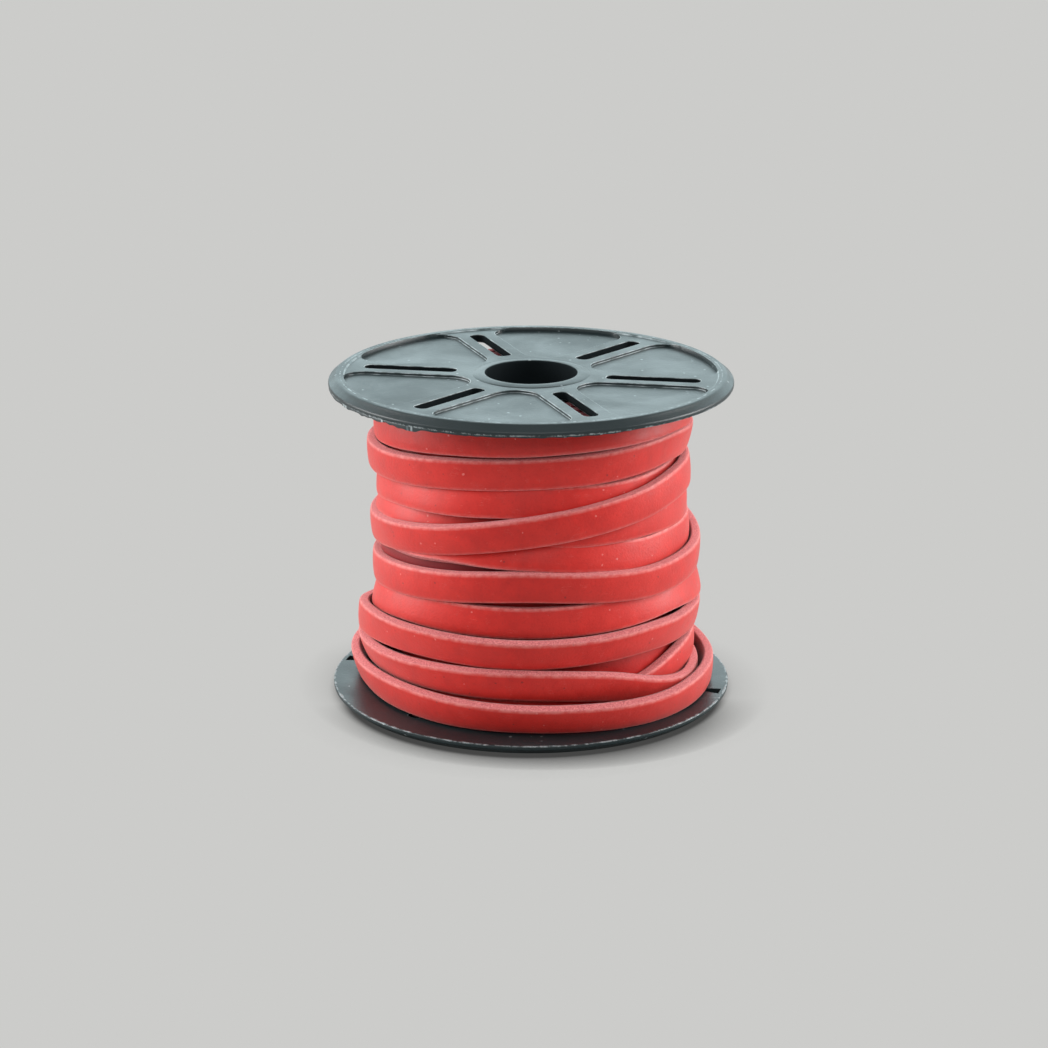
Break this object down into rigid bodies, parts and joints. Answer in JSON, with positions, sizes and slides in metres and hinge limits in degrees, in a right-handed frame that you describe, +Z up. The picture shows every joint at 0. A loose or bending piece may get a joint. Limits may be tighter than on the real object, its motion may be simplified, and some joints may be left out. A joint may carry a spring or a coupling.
{
  "type": "lace spool",
  "caption": "Moulded plastic spool with slotted, bevelled flanges and a central bore, wound with flat leather lace.",
  "frame": {"origin": "middle of the bore's end at the face that the spool stands on", "axes": "+Z up along the bore's axis, -Y towards the front"},
  "size_m": [0.0634, 0.0634, 0.052],
  "materials": {
    "black_plastic": "moulded, satin, scuffed at the rims",
    "red_leather": "dyed, fine grain, cut edges fuzzy and paler"
  },
  "bodies": {
    "root": {"top_flange": "black_plastic", "bottom_flange": "black_plastic", "barrel": "black_plastic", "lace_core": "red_leather", "lace_winding": "red_leather"}
  },
  "joints": []
}
